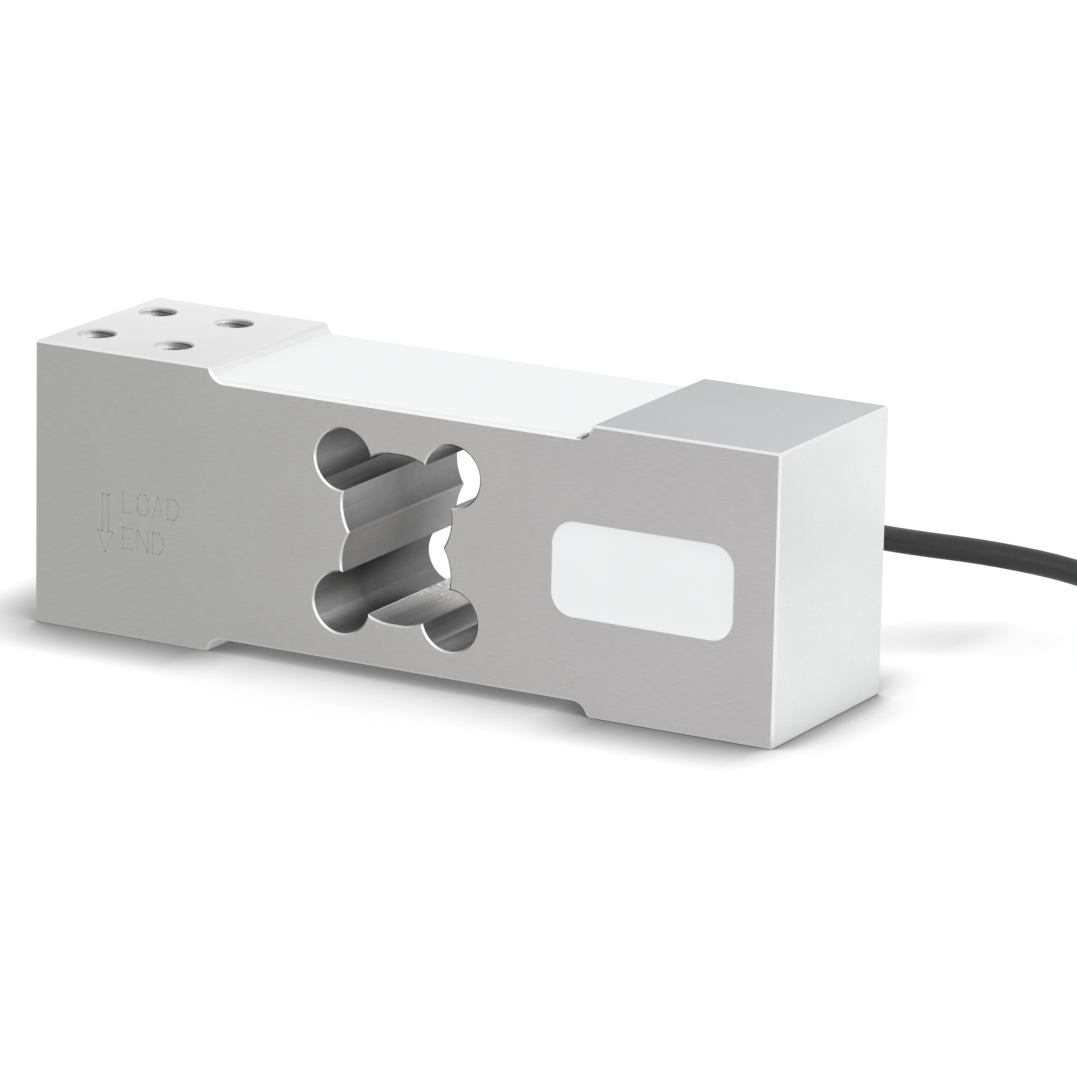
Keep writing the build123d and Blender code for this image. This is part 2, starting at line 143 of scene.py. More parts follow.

# The step's foot at the front right, where the silicone stops short of it and a shadow is painted on the
# metal
corner_shadow_reach = (41.3 * MM, 44.2 * MM)
corner_shadow_floor = 57.7 * MM
corner_shadow_front = -21.5 * MM

# The level direction that the hole walls with the most painted light face
painted_light_side = (0.874, 0.486)

# Marking on the front face, in millimetres but for the stroke
arrow_x = -70.0
arrow_stroke = 0.22 * MM
letter_stroke = 0.20 * MM
mark_words = [("LOAD", 27.0), ("END", 19.2)]
mark_left = -65.8
mark_pitch = 3.7
mark_letter_width = 2.5
mark_letter_height = 4.4
mark_rise = 0.012 * MM
mark_sink = 0.02 * MM

# Stripped cores on the coil
coil_step_height = 17.2 * MM
core_radius = 0.6 * MM
drain_radius = 0.35 * MM
core_gap = 0.02 * MM
core_first_line = 34.8 * MM
core_fan = 1.7 * MM
core_turn_degrees = 32.0
core_end_degrees = 66.0
core_shortening = 3.0
tip_radius = 0.33 * MM
tip_length = 4.5

# Stage: the room's strength as a light, and the floor's glow and the reach of the shade on it
room_level = 0.97
floor_glow = 0.76
shade_reach = 22 * MM


# Node materials

class Nodes:
    """Helpers that add nodes to a tree and give back their outputs."""

    def __init__(self, tree):
        self.tree = tree

    def node(self, kind, inputs, **properties):
        made = self.tree.nodes.new(kind)
        for name, value in properties.items():
            setattr(made, name, value)
        for socket, value in inputs.items():
            self.feed(value, made.inputs[socket])
        return made

    def feed(self, value, socket):
        if isinstance(value, bpy.types.NodeSocket):
            self.tree.links.new(value, socket)
        else:
            socket.default_value = value

    def math(self, operation, first, second=0.0):
        return self.node("ShaderNodeMath", {0: first, 1: second}, operation=operation).outputs[0]

    def both(self, first, second):
        return self.math("MULTIPLY", first, second)

    def plus(self, first, second):
        return self.math("ADD", first, second)

    def minus(self, first, second):
        return self.math("SUBTRACT", first, second)

    def larger(self, first, second):
        return self.math("MAXIMUM", first, second)

    def size(self, value):
        return self.math("ABSOLUTE", value)

    def above(self, value, limit):
        return self.math("GREATER_THAN", value, limit)

    def below(self, value, limit):
        return self.math("LESS_THAN", value, limit)

    def within(self, value, low, high):
        return self.both(self.above(value, low), self.below(value, high))

    def span(self, value, low, high, to_low=0.0, to_high=1.0):
        """The value's place between low and high, as a number between to_low and to_high."""
        inputs = {"Value": value, "From Min": low, "From Max": high, "To Min": to_low, "To Max": to_high}
        return self.node("ShaderNodeMapRange", inputs).outputs[0]

    def spread(self, noise_value, low, high):
        """A noise's usual values, from 0.3 to 0.7, spread between low and high."""
        return self.span(noise_value, 0.3, 0.7, low, high)

    def split(self, vector):
        return self.node("ShaderNodeSeparateXYZ", {0: vector}).outputs

    def mix(self, factor, first, second):
        """Two colours mixed, where factor 0 is the first."""
        return self.node("ShaderNodeMix", {0: factor, 6: first, 7: second}, data_type="RGBA").outputs[2]

    def blend(self, factor, first, second):
        """Two numbers mixed, where factor 0 is the first."""
        return self.plus(first, self.both(factor, self.minus(second, first)))

    def shade(self, colour, factor):
        """The colour made lighter or darker by a number around 1."""
        made = self.node("ShaderNodeVectorMath", {0: colour, "Scale": factor}, operation="SCALE")
        return made.outputs[0]

    def ray(self):
        """Whether a ray comes from the camera, and whether from a gloss or through glass."""
        path = self.node("ShaderNodeLightPath", {}).outputs
        return path["Is Camera Ray"], self.larger(path["Is Glossy Ray"], path["Is Transmission Ray"])


class Finish(Nodes):
    """A node material, with textures in the object's own coordinates."""

    def __init__(self, name, settings):
        self.data = bpy.data.materials.new(name)
        self.data.use_nodes = True
        super().__init__(self.data.node_tree)
        self.surface = self.tree.nodes["Principled BSDF"]
        for socket, value in settings.items():
            self.surface.inputs[socket].default_value = value
        self.place = self.node("ShaderNodeTexCoord", {}).outputs["Object"]

    def noise(self, per_metre, detail=3.0, roughness=0.5):
        """Noise with its own number of cells per metre along X, Y and Z."""
        mapped = self.node("ShaderNodeMapping", {"Vector": self.place, "Scale": per_metre})
        inputs = {"Vector": mapped.outputs[0], "Scale": 1.0, "Detail": detail, "Roughness": roughness}
        return self.node("ShaderNodeTexNoise", inputs).outputs[0]

    def normal(self):
        return self.node("ShaderNodeNewGeometry", {}).outputs["True Normal"]

    def painted_light_facing(self):
        """0 on hole walls that face away from the painted-light side, and 1 on those that face it: where
        light is painted on holes and threads.
        """
        x, y, _ = self.split(self.normal())
        along = self.plus(self.both(x, painted_light_side[0]), self.both(y, painted_light_side[1]))
        level = self.math("SQRT", self.plus(self.both(x, x), self.both(y, y)))
        return self.span(self.math("DIVIDE", along, self.larger(level, 0.01)), -0.1, 0.5)

    def colour(self, value):
        self.feed(value, self.surface.inputs["Base Color"])

    def roughness(self, value):
        self.feed(value, self.surface.inputs["Roughness"])

    def bump(self, height_value, depth):
        inputs = {"Height": height_value, "Strength": 1.0, "Distance": depth}
        self.feed(self.node("ShaderNodeBump", inputs).outputs[0], self.surface.inputs["Normal"])


def grey(level, blue=0.0):
    return (level - blue / 2, level, level + blue / 2, 1.0)


def plain_finish(name, colour, roughness, settings, cells):
    """A finish of one colour that varies a little in tone, gloss and height."""
    finish = Finish(name, settings)
    broad = finish.noise((cells / 8,) * 3)
    fine = finish.noise((cells,) * 3)
    finish.colour(finish.shade(colour, finish.spread(broad, 0.88, 1.12)))
    finish.roughness(finish.spread(fine, roughness - 0.06, roughness + 0.06))
    finish.bump(fine, 0.01 * MM)
    return finish.data


class MilledAluminium(Finish):
    """The body: brushed flat faces and bores streaked in depth, with painted light and shade by face and
    place, dark bores and painted highlights on the cut edges.
    """

    def __init__(self):
        super().__init__("milled_aluminium", {"Metallic": 1.0})
        self.x, self.y, self.z = self.split(self.place)
        self.above_middle = self.minus(self.z, middle_z)
        self.from_middle_x = self.size(self.x)
        self.from_middle_z = self.size(self.above_middle)
        self.upper = self.above(self.z, middle_z)
        self.signed_normal_x = self.split(self.normal())[0]
        self.normal_x, self.normal_y, self.normal_z = (self.size(part) for part in self.split(self.normal()))
        self.facing_end = self.above(self.normal_x, 0.8)
        self.facing_level = self.above(self.normal_z, 0.8)
        self.speckle = self.noise((900, 900, 900), 2.0)
        self.find_zones()
        self.lay_colours()
        self.lay_grain()

    def find_zones(self):
        """Masks of the cutout's bores and rims, the holes, the steps and the other edges."""
        cutout = self.both(
            self.below(self.from_middle_x, cutout_half_length),
            self.below(self.from_middle_z, cutout_half_height),
        )
        self.in_bore = self.both(cutout, self.below(self.normal_y, 0.2))
        self.on_rim = self.both(cutout, self.minus(self.below(self.normal_y, 0.9), self.in_bore))
        holes = self.both(
            self.within(self.from_middle_x, *holes_reach), self.below(self.size(self.y), holes_half_width)
        )
        self.in_hole = self.both(holes, self.below(self.normal_z, 0.9))
        rounded = self.both(self.below(self.normal_y, 0.3), self.below(self.normal_z, 0.98))
        self.on_step = self.both(self.within(self.from_middle_x, *step_reach), rounded)
        straightness = self.larger(self.larger(self.normal_x, self.normal_y), self.normal_z)
        apart = self.plus(self.plus(cutout, self.in_hole), self.on_step)
        self.on_edge = self.both(self.below(straightness, 0.9), self.below(apart, 0.5))
        # Rims and chamfered edges, which get painted highlights.
        self.bright = self.larger(self.on_rim, self.on_edge)

    def flat_colour(self):
        """The flat faces, each with its own painted light and shade: front and back, ends, and the two level
        faces of each end block.
        """
        # Painted light on the front and back faces: a little lighter and warmer towards the right end, darker
        # at the left.
        front_painted_light = self.span(self.x, -75 * MM, 60 * MM)
        front = self.mix(front_painted_light, (0.735, 0.735, 0.715, 1.0), (0.76, 0.745, 0.745, 1.0))
        # Painted light on the end faces: lightest at mid-height, darker towards their top and bottom.
        end_painted_light = self.span(self.from_middle_z, 0.0, 25 * MM, 0.985, 0.895)
        colour = self.mix(self.facing_end, front, self.shade((0.995, 1.0, 1.005), end_painted_light))
        # Painted light on the level faces: the loaded end's top lighter towards the back, the fixed end's top
        # much darker and lighter towards its end.
        loaded_top_painted_light = self.mix(self.span(self.y, -22 * MM, 22 * MM), grey(0.755), grey(0.83))
        fixed_top_painted_light = self.mix(self.span(self.x, 46 * MM, 86 * MM), grey(0.515, 0.02), grey(0.575, 0.02))
        level_painted_light = self.mix(self.span(self.x, -40 * MM, 40 * MM), loaded_top_painted_light, fixed_top_painted_light)
        return self.mix(self.facing_level, colour, level_painted_light)

    def middle_bore_painted_light(self):
        """Painted light and shade in the middle bores: light at the front, dark in depth, and lighter from
        the bottom to the top of each bore.
        """
        tone = self.span(self.y, -19 * MM, 0.0, 0.59, self.blend(self.upper, 0.31, 0.26))
        tone = self.plus(tone, self.span(self.y, 6 * MM, 22 * MM, 0.0, self.blend(self.upper, 0.17, 0.01)))
        upper_lift = self.span(self.z, middle_z, middle_z + 11 * MM, 0.66, 2.05)
        lower_lift = self.span(self.z, middle_z - 11 * MM, middle_z, 0.78, 1.45)
        return self.both(tone, self.blend(self.upper, lower_lift, upper_lift))

    def corner_bore_painted_light(self):
        """Painted light and shade in the corner bores as well: light at the front, dark in depth, and darkest
        in the bore at the lower right.
        """
        tone = self.span(self.y, -21 * MM, -5 * MM, 0.60, self.blend(self.upper, 0.14, 0.20))
        tone = self.plus(tone, self.span(self.y, 4 * MM, 22 * MM, 0.0, 0.07))
        lift = self.span(self.z, middle_z - 20 * MM, middle_z - 10 * MM, 0.9, 1.40)
        low_right_painted_shade = self.span(self.z, middle_z - 22 * MM, middle_z - 16 * MM, 0.50, 0.80)
        lift = self.both(lift, self.blend(self.span(self.x, 4 * MM, 9 * MM), 1.0, low_right_painted_shade))
        return self.both(tone, self.blend(self.upper, lift, 1.0))

    def cut_edge_highlight(self, across, above_middle):
        """1 on the cut edge that runs through the body at this place, left and right alike: where a painted
        highlight goes.
        """
        aside = self.minus(self.from_middle_x, across)
        above = self.minus(self.above_middle, above_middle)
        away = self.plus(self.both(aside, aside), self.both(above, above))
        return self.span(away, cut_highlight_core**2, cut_highlight_reach**2, 1.0, 0.0)

    def bore_colour(self):
        """The cutout's walls with their painted light and shade and painted highlights on the cut edges, and
        dried adhesive low at the back.
        """
        outer = self.above(self.from_middle_z, corner_bores_from)
        tone = self.blend(outer, self.middle_bore_painted_light(), self.corner_bore_painted_light())
        low_middle = self.both(
            self.below(self.from_middle_x, bore_floor_half_length), self.below(self.z, middle_z - 11 * MM)
        )
        # The middle bores' low floor is painted lighter: painted light.
        tone = self.larger(tone, self.both(low_middle, 0.58))
        # Painted highlights along the edges where bores meet
        tone = self.larger(tone, self.cut_edge_highlight(*low_cut_edge))
        tone = self.plus(tone, self.both(self.cut_edge_highlight(*side_cut_edge), 0.16))
        patches = self.noise((380, 240, 380), 4.0, 0.65)
        crumbs = self.noise((1700, 1300, 1700), 2.0, 0.7)
        reach = self.plus(self.span(self.y, -12 * MM, 10 * MM, -0.13, 0.11), self.blend(0.5, patches, crumbs))
        reach = self.plus(reach, self.span(self.x, -9 * MM, 7 * MM, 0.05, -0.07))
        residue = self.both(low_middle, self.span(reach, 0.47, 0.54))
        dark_or_pale = self.span(self.speckle, 0.35, 0.65)
        residue_colour = self.mix(dark_or_pale, (0.44, 0.42, 0.385, 1.0), (0.88, 0.87, 0.85, 1.0))
        return self.mix(residue, self.shade((1.0, 0.99, 0.99), tone), residue_colour)

    def hole_colour(self):
        """Hole walls and countersinks with painted light: lightest where they face the painted-light side."""
        wall_painted_light = self.blend(self.painted_light_facing(), 0.50, 1.0)
        cone_painted_light = self.blend(self.painted_light_facing(), 0.62, 0.82)
        tone = self.blend(self.span(self.normal_z, 0.3, 0.6), wall_painted_light, cone_painted_light)
        return self.shade((1.0, 1.0, 1.0), tone)

    def in_corner_shadow(self):
        """1 on the step's foot at the front right, where the silicone stops short: the place of a painted
        shadow.
        """
        lengthwise = self.within(self.x, *corner_shadow_reach)
        low_front = self.both(self.above(self.z, corner_shadow_floor), self.below(self.y, corner_shadow_front))
        return self.both(self.both(lengthwise, low_front), self.below(self.normal_y, 0.9))

    def lay_colours(self):
        """Each zone's colour with its painted light and shade, laid over those before it."""
        colour = self.mix(self.in_bore, self.flat_colour(), self.bore_colour())
        colour = self.mix(self.in_hole, colour, self.hole_colour())
        # The step's rounding gets painted light, a little darker on its upper edge.
        step_painted_light = self.mix(self.span(self.z, *step_brow), grey(0.85), grey(0.79))
        colour = self.mix(self.on_step, colour, step_painted_light)
        # Painted highlights on the chamfered edges, lightest on the front and back edges along the recess.
        in_recess = self.below(self.from_middle_x, recess_half_length)
        recess_edge = self.both(in_recess, self.above(self.normal_y, 0.3))
        colour = self.mix(self.on_edge, colour, self.mix(recess_edge, grey(0.84), grey(0.95)))
        # Painted light on the cutout's rims: lighter the more they face +X.
        rim_painted_light = self.span(self.signed_normal_x, 0.05, 0.4, 0.62, 0.97)
        colour = self.mix(self.on_rim, colour, self.shade((1.0, 1.0, 1.0), rim_painted_light))
        # Painted shadow on the metal there, deepening to nearly black towards the step.
        shadow_deepening = self.span(self.x, 42.2 * MM, 42.9 * MM)
        colour = self.mix(self.in_corner_shadow(), colour, self.mix(shadow_deepening, grey(0.52, -0.05), grey(0.20)))
        self.zone_colour = colour

    def lay_grain(self):
        """Brushing along the faces, streaks along the bores and rings in the holes, over the colours."""
        along_x = self.noise((420, 3000, 3000), 3.0, 0.6)
        along_y = self.noise((1500, 30, 1500), 4.0, 0.6)
        rings = self.noise((90, 90, 3600), 2.0)
        cloudy = self.noise((45, 45, 45), 2.0)
        grain = self.mix(self.in_hole, self.mix(self.in_bore, along_x, along_y), rings)
        depth = self.blend(self.bright, self.span(self.in_bore, 0.0, 1.0, 0.045, 0.10), 0.01)
        tone = self.plus(self.both(self.spread(grain, -1.0, 1.0), depth), self.spread(cloudy, 0.985, 1.015))
        self.colour(self.shade(self.zone_colour, tone))
        gloss = self.plus(self.spread(grain, 0.36, 0.46), self.spread(self.speckle, -0.03, 0.03))
        gloss = self.plus(gloss, self.both(self.facing_end, 0.08))
        gloss = self.plus(gloss, self.both(self.in_hole, self.blend(self.painted_light_facing(), 0.16, 0.42)))
        self.roughness(self.minus(gloss, self.both(self.bright, 0.15)))
        self.bump(grain, 0.004 * MM)


def cut_thread():
    """Tapped aluminium with painted light: lightest where it faces the painted-light side, with painted shade
    on the flanks.
    """
    finish = Finish("cut_thread", {"Metallic": 1.0})
    rings = finish.noise((120, 120, 4200), 2.0)
    painted_light_facing = finish.painted_light_facing()
    flank = finish.size(finish.split(finish.normal())[2])
    flank_painted_shade = finish.span(flank, 0.3, 0.8, 1.0, finish.blend(painted_light_facing, 0.66, 1.0))
    tone = finish.both(finish.blend(painted_light_facing, 0.36, 1.0), flank_painted_shade)
    finish.colour(finish.shade((1.0, 1.0, 1.0), finish.both(tone, finish.spread(rings, 0.9, 1.1))))
    finish.roughness(finish.blend(painted_light_facing, finish.spread(rings, 0.40, 0.55), 0.85))
    finish.bump(rings, 0.006 * MM)
    return finish.data


def silicone():
    finish = Finish("white_silicone", {"Specular IOR Level": 0.35})
    broad = finish.noise((40, 40, 40), 2.0)
    fine = finish.noise((700, 700, 700), 3.0)
    finish.colour(finish.mix(broad, (0.87, 0.885, 0.89, 1.0), (0.91, 0.92, 0.925, 1.0)))
    finish.roughness(finish.spread(fine, 0.42, 0.55))
    finish.bump(fine, 0.004 * MM)
    return finish.data


def cable_jacket():
    finish = Finish("cable_jacket", {"Specular IOR Level": 0.5})
    broad = finish.noise((60, 60, 60), 2.0)
    fine = finish.noise((1200, 1200, 1200), 3.0)
    finish.colour(finish.mix(broad, (0.014, 0.014, 0.015, 1.0), (0.024, 0.024, 0.025, 1.0)))
    finish.roughness(finish.spread(fine, 0.36, 0.48))
    finish.bump(fine, 0.012 * MM)
    return finish.data


finishes = {
    "milled_aluminium": MilledAluminium().data,
    "white_silicone": silicone(),
    "cable_jacket": cable_jacket(),
    "cut_thread": cut_thread(),
    "etched_mark": plain_finish("etched_mark", (0.60, 0.595, 0.585), 0.5, {"Metallic": 1.0}, 2200),
    "rubber": plain_finish("black_rubber", (0.018, 0.018, 0.018), 0.6, {}, 900),
    "nylon": plain_finish("black_nylon", (0.016, 0.016, 0.017), 0.42, {}, 500),
    "shrink_sleeve": plain_finish("shrink_sleeve", (0.022, 0.022, 0.022), 0.5, {}, 700),
    "laminate": plain_finish("green_laminate", (0.05, 0.24, 0.10), 0.35, {}, 1500),
    "foam": plain_finish("foam_pad", (0.80, 0.80, 0.77), 0.9, {}, 2500),
    "resistor": plain_finish("resistor_glaze", (0.03, 0.03, 0.035), 0.3, {}, 800),
    "polyimide": plain_finish("polyimide_film", (0.62, 0.28, 0.05), 0.3, {}, 900),
    "foil": plain_finish("gauge_foil", (0.72, 0.60, 0.42), 0.32, {"Metallic": 1.0}, 3000),
    "tinned": plain_finish("tinned_copper", (0.74, 0.72, 0.69), 0.34, {"Metallic": 1.0}, 1500),
    "enamel": plain_finish("enamelled_wire", (0.45, 0.17, 0.05), 0.25, {"Metallic": 0.6}, 1200),
    "steel": plain_finish("crimped_steel", (0.58, 0.58, 0.58), 0.35, {"Metallic": 1.0}, 1200),
    "red": plain_finish("red_insulation", (0.55, 0.03, 0.025), 0.38, {}, 700),
    "black": plain_finish("black_insulation", (0.016, 0.016, 0.016), 0.38, {}, 700),
    "green": plain_finish("green_insulation", (0.02, 0.30, 0.06), 0.38, {}, 700),
    "white": plain_finish("white_insulation", (0.82, 0.82, 0.79), 0.38, {}, 700),
}

# Which finish each kept CAD node takes, by how its name starts
node_finishes = [
    ("spring_body", "milled_aluminium"),
    ("top_gauge_cover", "white_silicone"),
    ("bottom_gauge_cover", "white_silicone"),
    ("side_pocket_fill", "white_silicone"),
    ("cable_grommet", "rubber"),
    ("cable_stop_ring", "steel"),
    ("cable", "cable_jacket"),
    ("coil_ties", "nylon"),
    ("tail_sleeve", "shrink_sleeve"),
    ("gauge_carrier", "polyimide"),
    ("gauge_foil", "foil"),
    ("gauge_wires", "tinned"),
    ("bridge_leads", "enamel"),
    ("terminal_strip", "laminate"),
    ("bridge_board", "laminate"),
    ("board_pad", "foam"),
    ("trim_resistors", "resistor"),
    ("inner_drain_wire", "tinned"),
    ("tail_drain_wire", "tinned"),
    ("inner_core_red", "red"),
    ("inner_core_black", "black"),
    ("inner_core_green", "green"),
    ("inner_core_white", "white"),
    ("tail_core_red", "red"),
    ("tail_core_black", "black"),
    ("tail_core_green", "green"),
    ("tail_core_white", "white"),
]


def dress(piece, finish_name):
    """Gives the piece one finish in place of what it has."""
    piece.data.materials.clear()
    piece.data.materials.append(finishes[finish_name])


def dress_nodes():
    for name, node in nodes.items():
        finish_name = next(finish for start, finish in node_finishes if name.startswith(start))
        dress(node, finish_name)


def next_at(turned, phase):
    """The next angle, from turned on, that is the given phase of a turn."""
    return turned + (phase - turned) % 360


def coil_moves():
    """The cable's moves in the coil: where each starts, and its columns and rows.

    Each row's moves start a little earlier in the turn than those of the row below, so that no
    turn passes through another.
    """
    moves = []
    turned = 0.0
    for row in range(coil_rows):
        inwards = row % 2 == 0
        last_row = row == coil_rows - 1
        shifts = (coil_top_columns if last_row else coil_columns) - 1
        phase = 360 - (2 * row + 1) * coil_move_degrees
        for _ in range(shifts):
            turned = next_at(turned, phase % 360)
            moves.append((turned, -1 if inwards else 1, 0))
            turned += coil_move_degrees
        if not last_row:
            turned = next_at(turned, (phase - coil_move_degrees) % 360)
            moves.append((turned, 0, 1))
            turned += coil_move_degrees
    return moves, turned + coil_last_degrees


def coil_points():
    """The spline's points round the coil, clockwise, from the lead-in to the cable's end."""
    moves, total = coil_moves()
    step = 360 / coil_points_per_turn
    count = int((total + step / 2) // step)
    points = []
    for index in range(count + 1):
        turned = index * step - step / 2
        column = coil_columns - 1
        row = 0
        for start, columns, rows in moves:
            share = min(max((turned - start) / coil_move_degrees, 0), 1)
            share = share * share * (3 - 2 * share)
            column += columns * share
            row += rows * share
        beyond = step / 2 if index < count else total - turned
        radius = (coil_inner_line + column * cable_diameter) / math.cos(math.radians(beyond))
        points.append(coil_place(turned, radius, coil_first_height + row * cable_diameter))
    end_line = coil_inner_line + (coil_top_columns - 1) * cable_diameter
    end_height = coil_first_height + (coil_rows - 1) * cable_diameter
    points.append(coil_place(total, end_line, end_height))
    return points


def coil_place(turned, radius, z):
    """The point at an angle turned clockwise from +Y, at a radius and height."""
    angle = math.radians(90 - turned)
    flat = Vector((math.cos(angle), math.sin(angle), 0)) * radius
    return coil_centre + flat + Vector((0, 0, z))


def cable():
    """The whole cable as one smooth line: the free stretch, then the coil."""
    points = [Vector(point) for point in cable_route] + coil_points()
    curve = bpy.data.curves.new("signal_cable", "CURVE")
    curve.dimensions = "3D"
    curve.bevel_depth = cable_radius
    curve.bevel_resolution = 5
    curve.resolution_u = 5
    curve.use_fill_caps = True
    spline = curve.splines.new("NURBS")
    spline.points.add(len(points) - 1)
    for place, point in zip(spline.points, points):
        place.co = (*point, 1.0)
    spline.order_u = 3
    spline.use_endpoint_u = True
    piece = bpy.data.objects.new("signal_cable", curve)
    bpy.context.scene.collection.objects.link(piece)
    dress(piece, "cable_jacket")
    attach(piece, "root")
    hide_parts("cable", "cable_coil")
    tips = core_tips()


def mesh_piece(name, points, faces, finish_name, smooth=True):
    """A mesh object that rides on the body."""
    mesh = bpy.data.meshes.new(name)
    mesh.from_pydata([tuple(point) for point in points], [], faces)
    mesh.polygons.foreach_set("use_smooth", [smooth] * len(mesh.polygons))
    mesh.update()
    piece = bpy.data.objects.new(name, mesh)
    bpy.context.scene.collection.objects.link(piece)
    dress(piece, finish_name)
    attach(piece, "root")
    return piece


def sharpen(piece, degrees):
    """Edges sharper than the angle stay crisp under smooth shading."""
    piece.data.set_sharp_from_angle(angle=math.radians(degrees))


def grid_faces(rows, columns, start=0, flip=False):
    """The quads of a grid of points that are listed row by row."""
    faces = []
    for row in range(rows - 1):
        for column in range(columns - 1):
            first = start + row * columns + column
            face = (first, first + 1, first + columns + 1, first + columns)
            faces.append(face[::-1] if flip else face)
    return faces


def spaced(count, crowding):
    """Numbers from -1 to 1, closer together towards both ends."""
    places = [-1 + 2 * index / (count - 1) for index in range(count)]
    return [math.copysign(1 - (1 - abs(place)) ** crowding, place) for place in places]


# Silicone covers: poured into the recesses, rounded at the open sides, wet up the end fillets

def cover_end(top_height):
    """How far along X the silicone reaches at a height above the recess floor."""
    below = recess_fillet - top_height
    return recess_flat + math.sqrt(recess_fillet**2 - below**2)


def cover_bottom(x):
    """The height of the metal under the silicone, above the recess floor."""
    beyond = max(abs(x) - recess_flat, 0.0)
    return recess_fillet - math.sqrt(max(recess_fillet**2 - beyond**2, 0.0))


def cover_top(x_share, y, half_width_here):
    """The height of the silicone's surface above the recess floor."""
    from_side = (half_width_here - abs(y)) / cover_lip_width
    drop = 0.0
    if from_side < 1:
        drop = cover_lip_drop * (1 - math.sqrt(1 - (1 - from_side) ** 2))
    wave = cover_wave * noise.noise(Vector((x_share * 3.1, y * 55, 0.4)))
    return cover_height - drop + wave - cover_wave


def cover_corner(y):
    """How far the silicone stops short of the step at the front right corner."""
    share = (-y - cover_half_width + cover_notch_width) / cover_notch_width
    return cover_notch_depth * max(share, 0.0) ** 0.5


def gauge_cover(name, node, upwards, half_width_here):
    """One silicone cover, as a grid for its surface and one for the metal under it, joined all round."""
    points = []
    lanes = [half_width_here * place for place in spaced(61, 1.9)]
    stations = spaced(121, 1.6)
    for surface in (cover_top, None):
        for y in lanes:
            rim = cover_top(1.0, y, half_width_here)
            for share in stations:
                reach = cover_end(rim) - (cover_corner(y) if share > 0 else 0.0)
                x = share * reach
                z = cover_bottom(x)
                if surface and abs(share) < 1:
                    z = max(surface(share, y, half_width_here), z)
                elif surface:
                    z = max(z, rim if reach < cover_end(rim) else z)
                level = recess_floor + z if upwards else height - recess_floor - z
                points.append((x, y, level))
    rows, columns = len(lanes), len(stations)
    under = rows * columns
    faces = grid_faces(rows, columns, 0, not upwards)
    faces += grid_faces(rows, columns, under, upwards)
    edge = list(range(columns)) + [row * columns + columns - 1 for row in range(1, rows)]
    edge += [(rows - 1) * columns + column for column in range(columns - 2, -1, -1)]
    edge += [row * columns for row in range(rows - 2, 0, -1)]
    for first, second in zip(edge, edge[1:] + edge[:1]):
        face = (first, first + under, second + under, second)
        faces.append(face if upwards else face[::-1])
    piece = mesh_piece(name, points, faces, "white_silicone")
    sharpen(piece, 50)
    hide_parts(node)


# Pocket fill: nearly flush, drawn up a little where it wets the pocket's wall

def rounded_outline(half_x, half_z, radius, arc_steps=12, side_steps=10):
    """Points round a rectangle with round corners, in X and Z."""
    points = []
    corners = [(1, 1, 0), (-1, 1, 90), (-1, -1, 180), (1, -1, 270)]
    for index, (side_x, side_z, begin) in enumerate(corners):
        centre = (side_x * (half_x - radius), side_z * (half_z - radius))
        for step in range(arc_steps + 1):
            angle = math.radians(begin + 90 * step / arc_steps)
            points.append((centre[0] + radius * math.cos(angle), centre[1] + radius * math.sin(angle)))
        next_x, next_z, next_begin = corners[(index + 1) % 4]
        angle = math.radians(next_begin)
        target = (next_x * (half_x - radius) + radius * math.cos(angle),
                  next_z * (half_z - radius) + radius * math.sin(angle))
        last = points[-1]
        for step in range(1, side_steps):
            share = step / side_steps
            points.append((last[0] + (target[0] - last[0]) * share, last[1] + (target[1] - last[1]) * share))
    return points


def pocket_fill():
    """The silicone in the side pocket, as rings of points from its back edge to the middle of its face."""
    low, high = (Vector(corner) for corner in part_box("side_pocket_fill"))
    centre = (low + high) / 2
    half_x = (high.x - low.x) / 2
    half_z = (high.z - low.z) / 2
    points = []
    insets = [0.0, 0.15, 0.4, 0.8, 1.3, 1.9, 2.6, 3.5, 4.6, 5.8, 7.2, 8.6]
    rings = [(0.0, high.y)] + [(inset * MM, None) for inset in insets]
    for inset, y in rings:
        radius = max(fill_corner_radius - inset, 1.0 * MM)
        for x, z in rounded_outline(half_x - inset, half_z - inset, radius):
            if y is None:
                share = min(inset / fill_meniscus_width, 1.0)
                lean = 1 + fill_lean * max(x / half_x, 0.0)
                sink = fill_rim_depth + fill_meniscus_depth * lean * (1 - (1 - share) ** 2.2)
                wave = fill_wave * noise.noise(Vector((x * 70, z * 90, 2.5)))
                level = -half_width + sink + wave * share
            else:
                level = y
            points.append((centre.x + x, level, centre.z + z))
    ring = len(rounded_outline(half_x, half_z, fill_corner_radius))
    faces = [tuple(range(ring))]
    for row in range(len(rings) - 1):
        for step in range(ring):
            first, after = row * ring + step, row * ring + (step + 1) % ring
            faces.append((first, first + ring, after + ring, after))
    faces.append(tuple(reversed(range((len(rings) - 1) * ring, len(rings) * ring))))
    piece = mesh_piece("pocket_silicone", points, faces, "white_silicone")
    sharpen(piece, 60)
    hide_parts("side_pocket_fill")


# Thread ridges in the tapped holes

